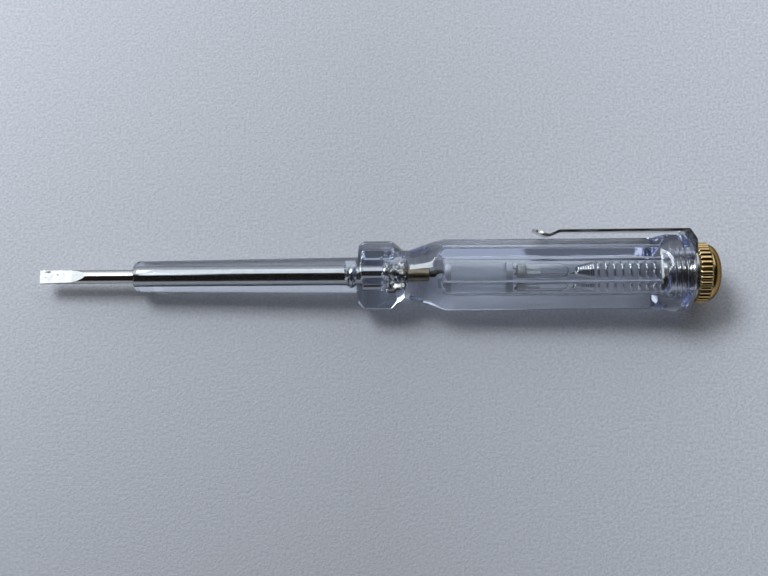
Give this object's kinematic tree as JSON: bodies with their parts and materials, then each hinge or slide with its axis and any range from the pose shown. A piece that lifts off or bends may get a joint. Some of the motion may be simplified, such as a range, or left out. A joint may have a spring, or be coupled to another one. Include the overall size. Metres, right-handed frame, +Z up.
{
  "type": "voltage tester",
  "caption": "Screwdriver-type voltage tester with a flat steel blade, a clear hexagonal handle round a neon lamp, a brass screw cap and a pocket clip.",
  "frame": {"origin": "middle of the blade's tip, on the tool axis", "axes": "+X along the tool axis from the blade's tip to the screw cap, +Z up with the tester lying on the lower flat of its collar, +Y towards the pocket clip"},
  "size_m": [0.1397, 0.0177, 0.0158],
  "materials": {
    "clear_plastic": "clear, faintly blue, polished moulding",
    "blade_nickel": "nickel-plated, ground and scuffed at the tip",
    "resistor_lacquer": "pale grey lacquer, satin",
    "resistor_metal": "tinned, satin",
    "lamp_glass": "clear, faintly green glass",
    "lamp_metal": "matt nickel with a pale coating",
    "spring_steel": "drawn and plated wire",
    "brass": "turned and knurled, lightly tarnished",
    "clip_steel": "nickel-plated strip, satin with bright edges"
  },
  "bodies": {
    "handle": {"body": "clear_plastic", "blade": "blade_nickel", "resistor_rod": "resistor_lacquer", "resistor_front_cap": "resistor_metal", "resistor_rear_cap": "resistor_metal", "lamp_glass": "lamp_glass", "lamp_stem": "lamp_glass", "lamp_front_electrode": "lamp_metal", "lamp_rear_electrode": "lamp_metal", "lamp_front_lead": "lamp_metal", "lamp_rear_lead": "lamp_metal"},
    "spring": {"contact_spring": "spring_steel"},
    "cap": {"end_cap": "brass"},
    "clip": {"pocket_clip": "clip_steel"}
  },
  "joints": [
    {"name": "cap_travel", "type": "slide", "parent": "handle", "child": "spring", "axis": [1, 0, 0], "range_m": [0, 0.0048], "deforming": ["contact_spring"]},
    {"name": "cap_turn", "type": "hinge", "parent": "spring", "child": "cap", "pos_m": [0.1342, 0, 0], "axis": [1, 0, 0], "range_deg": [0, 1710]},
    {"name": "clip_swivel", "type": "hinge", "parent": "handle", "child": "clip", "pos_m": [0.1339, 0, 0], "axis": [1, 0, 0], "continuous": true}
  ],
  "couplings": [
    {"joint": "cap_travel", "follows": "cap_turn", "m_per_rad": 0.00015915}
  ]
}
